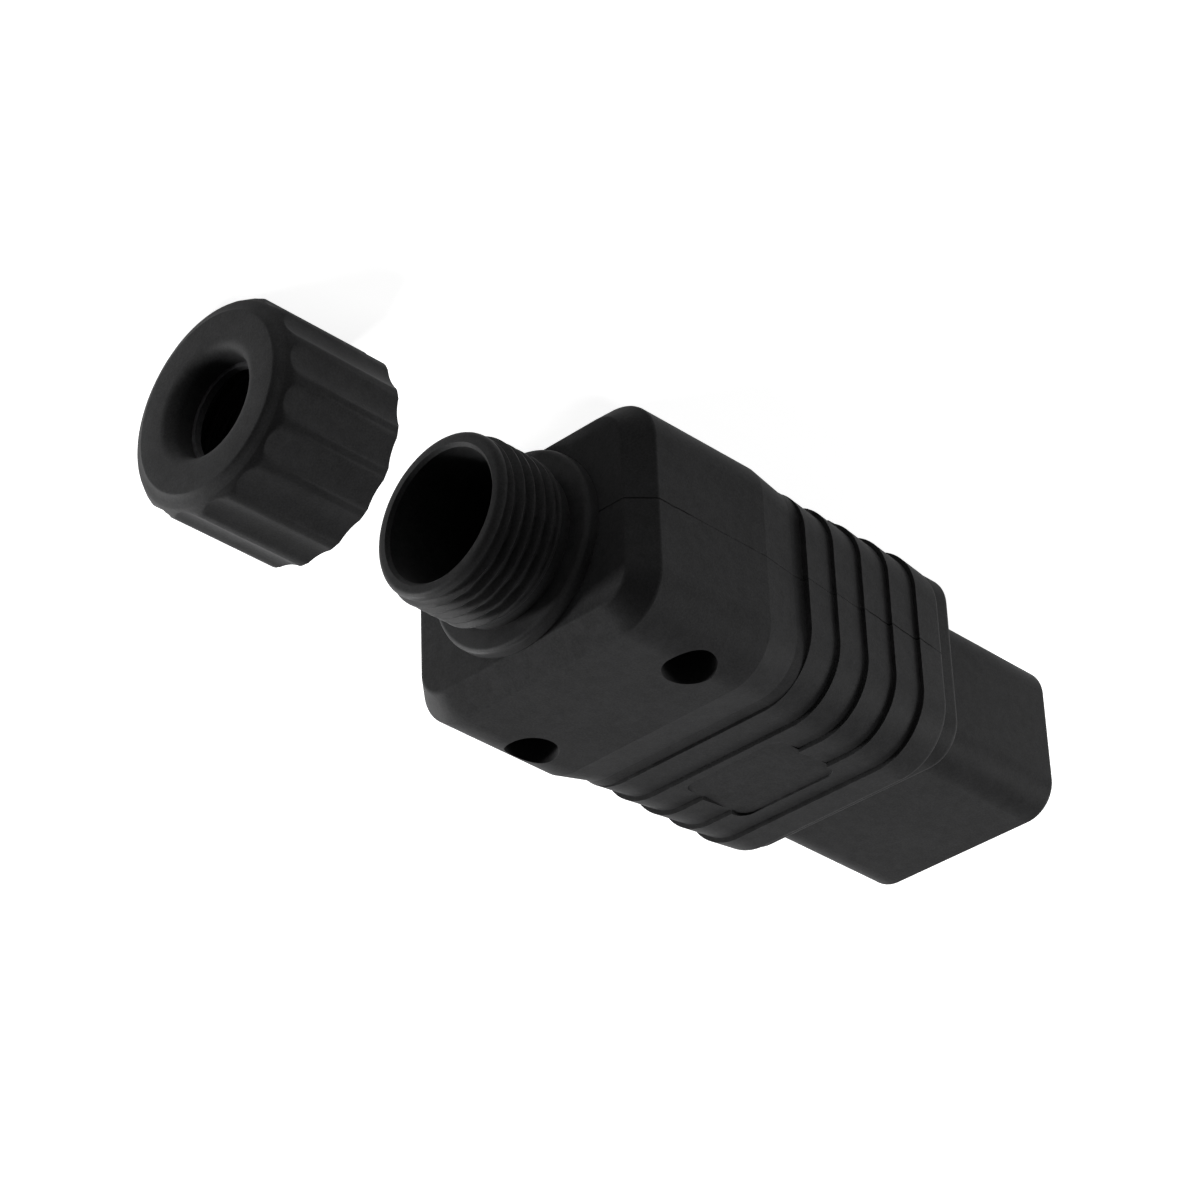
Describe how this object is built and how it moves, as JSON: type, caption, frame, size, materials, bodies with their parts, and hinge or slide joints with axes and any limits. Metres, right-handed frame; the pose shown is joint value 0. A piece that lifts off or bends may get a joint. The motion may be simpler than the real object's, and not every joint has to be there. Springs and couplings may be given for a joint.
{
  "type": "rewireable iec connector",
  "caption": "Rewireable three-way female appliance connector in two screwed half shells, with a threaded cable gland and its fluted nut taken off.",
  "frame": {"origin": "centre of the mating face at the front of the nose", "axes": "+X out of the mating face, +Y across the row of contacts, +Z out of the face with the screw holes"},
  "size_m": [0.1151, 0.0362, 0.0286],
  "materials": {
    "shell_plastic": "fine moulded texture",
    "nose_plastic": "fine moulded texture",
    "gland_plastic": "smooth moulding",
    "nut_plastic": "fine moulded texture",
    "inner_plastic": "smooth",
    "seal_rubber": "matt",
    "contact_brass": "tinned",
    "terminal_brass": "machined",
    "clamp_steel": "zinc plated",
    "screw_steel": "zinc plated"
  },
  "bodies": {
    "housing": {"lower_shell": "shell_plastic", "contact_carrier": "nose_plastic", "carrier_cover": "inner_plastic", "gland_body": "gland_plastic", "line_contact": "contact_brass", "neutral_contact": "contact_brass", "earth_contact": "contact_brass", "line_terminal": "terminal_brass", "neutral_terminal": "terminal_brass", "earth_terminal": "terminal_brass"},
    "lid": {"upper_shell": "shell_plastic"},
    "left_case_screw": {"case_screw_left": "screw_steel"},
    "right_case_screw": {"case_screw_right": "screw_steel"},
    "seal": {"cable_seal": "seal_rubber"},
    "washer": {"slip_washer": "inner_plastic"},
    "nut": {"gland_nut": "nut_plastic"},
    "line_clamp": {"line_clamp_plate": "clamp_steel"},
    "line_screw": {"line_terminal_screw": "screw_steel"},
    "neutral_clamp": {"neutral_clamp_plate": "clamp_steel"},
    "neutral_screw": {"neutral_terminal_screw": "screw_steel"},
    "earth_clamp": {"earth_clamp_plate": "clamp_steel"},
    "earth_screw": {"earth_terminal_screw": "screw_steel"}
  },
  "joints": [
    {"name": "shell_lift", "type": "slide", "parent": "housing", "child": "lid", "axis": [0, 0, 1], "range_m": [0, 0.045]},
    {"name": "nut_bring", "type": "slide", "parent": "housing", "child": "seal", "axis": [0.9602, 0.2351, 0.1506], "range_m": [0, 0.01408]},
    {"name": "nut_run", "type": "slide", "parent": "seal", "child": "washer", "axis": [1, 0, 0], "range_m": [0, 0.01088]},
    {"name": "nut_turn", "type": "hinge", "parent": "washer", "child": "nut", "pos_m": [-0.1, -0.00331, -0.00212], "axis": [1, 0, 0], "range_deg": [0, 2610]},
    {"name": "left_case_screw_lift", "type": "slide", "parent": "lid", "child": "left_case_screw", "axis": [0, 0, 1], "range_m": [0, 0.026]},
    {"name": "right_case_screw_lift", "type": "slide", "parent": "lid", "child": "right_case_screw", "axis": [0, 0, 1], "range_m": [0, 0.026]},
    {"name": "line_clamp_travel", "type": "slide", "parent": "housing", "child": "line_clamp", "axis": [0, 0, -1], "range_m": [0, 0.003]},
    {"name": "line_screw_turn", "type": "hinge", "parent": "line_clamp", "child": "line_screw", "pos_m": [-0.0406, -0.0065, 0], "axis": [0, 0, -1], "range_deg": [0, 1800]},
    {"name": "neutral_clamp_travel", "type": "slide", "parent": "housing", "child": "neutral_clamp", "axis": [0, 0, -1], "range_m": [0, 0.003]},
    {"name": "neutral_screw_turn", "type": "hinge", "parent": "neutral_clamp", "child": "neutral_screw", "pos_m": [-0.0406, 0.0065, 0], "axis": [0, 0, -1], "range_deg": [0, 1800]},
    {"name": "earth_clamp_travel", "type": "slide", "parent": "housing", "child": "earth_clamp", "axis": [0, 0, -1], "range_m": [0, 0.003]},
    {"name": "earth_screw_turn", "type": "hinge", "parent": "earth_clamp", "child": "earth_screw", "pos_m": [-0.0511, 0, 0], "axis": [0, 0, -1], "range_deg": [0, 1800]}
  ],
  "couplings": [
    {"joint": "nut_run", "follows": "nut_turn", "m_per_rad": 0.00023873},
    {"joint": "line_screw_turn", "follows": "line_clamp_travel", "rad_per_m": 10472},
    {"joint": "neutral_screw_turn", "follows": "neutral_clamp_travel", "rad_per_m": 10472},
    {"joint": "earth_screw_turn", "follows": "earth_clamp_travel", "rad_per_m": 10472}
  ]
}
